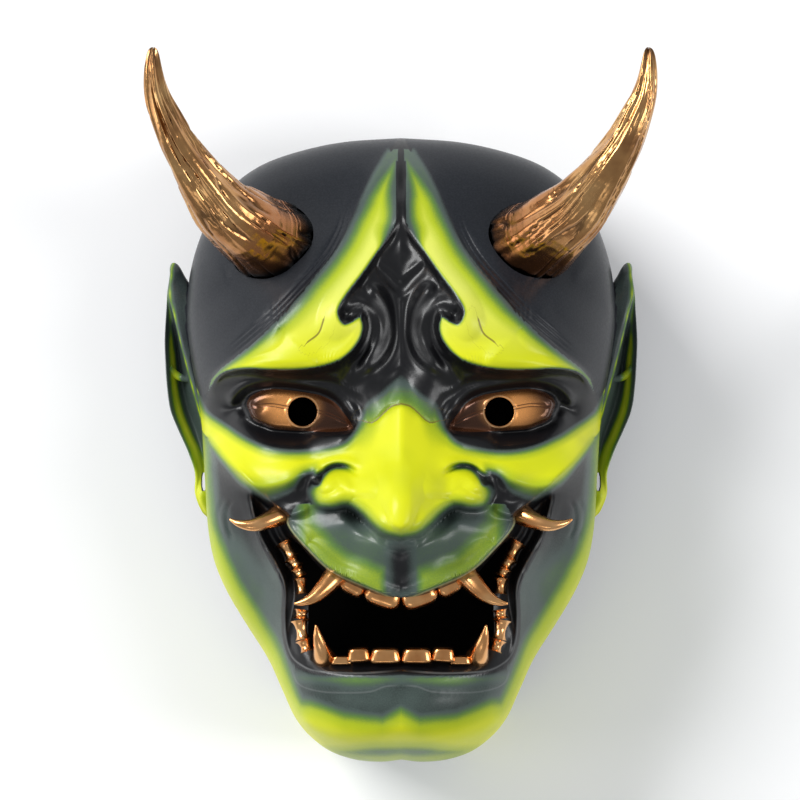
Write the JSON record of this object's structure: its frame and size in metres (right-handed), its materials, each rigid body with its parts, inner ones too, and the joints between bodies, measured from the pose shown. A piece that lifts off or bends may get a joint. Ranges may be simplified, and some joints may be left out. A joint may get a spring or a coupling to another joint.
{
  "type": "hannya mask",
  "caption": "Horned demon mask: a hollow cast resin face with ears, open fanged mouth and pierced pupils, lacquered lime and black, with two bronze horns.",
  "frame": {"origin": "on the floor under the middle of the whole mask, which lies on the flat rim of its hollow back", "axes": "+Z out of the face, +Y towards the crown and the horn tips, +X towards the face's left ear"},
  "size_m": [0.1896, 0.2686, 0.1252],
  "materials": {
    "lacquered_resin": "airbrushed lime fading to black under satin gloss lacquer",
    "bronze_resin": "glossy metallic bronze paint with dark washed grooves"
  },
  "bodies": {
    "root": {"mask_shell": "lacquered_resin", "horn_left": "bronze_resin", "horn_right": "bronze_resin"}
  },
  "joints": []
}
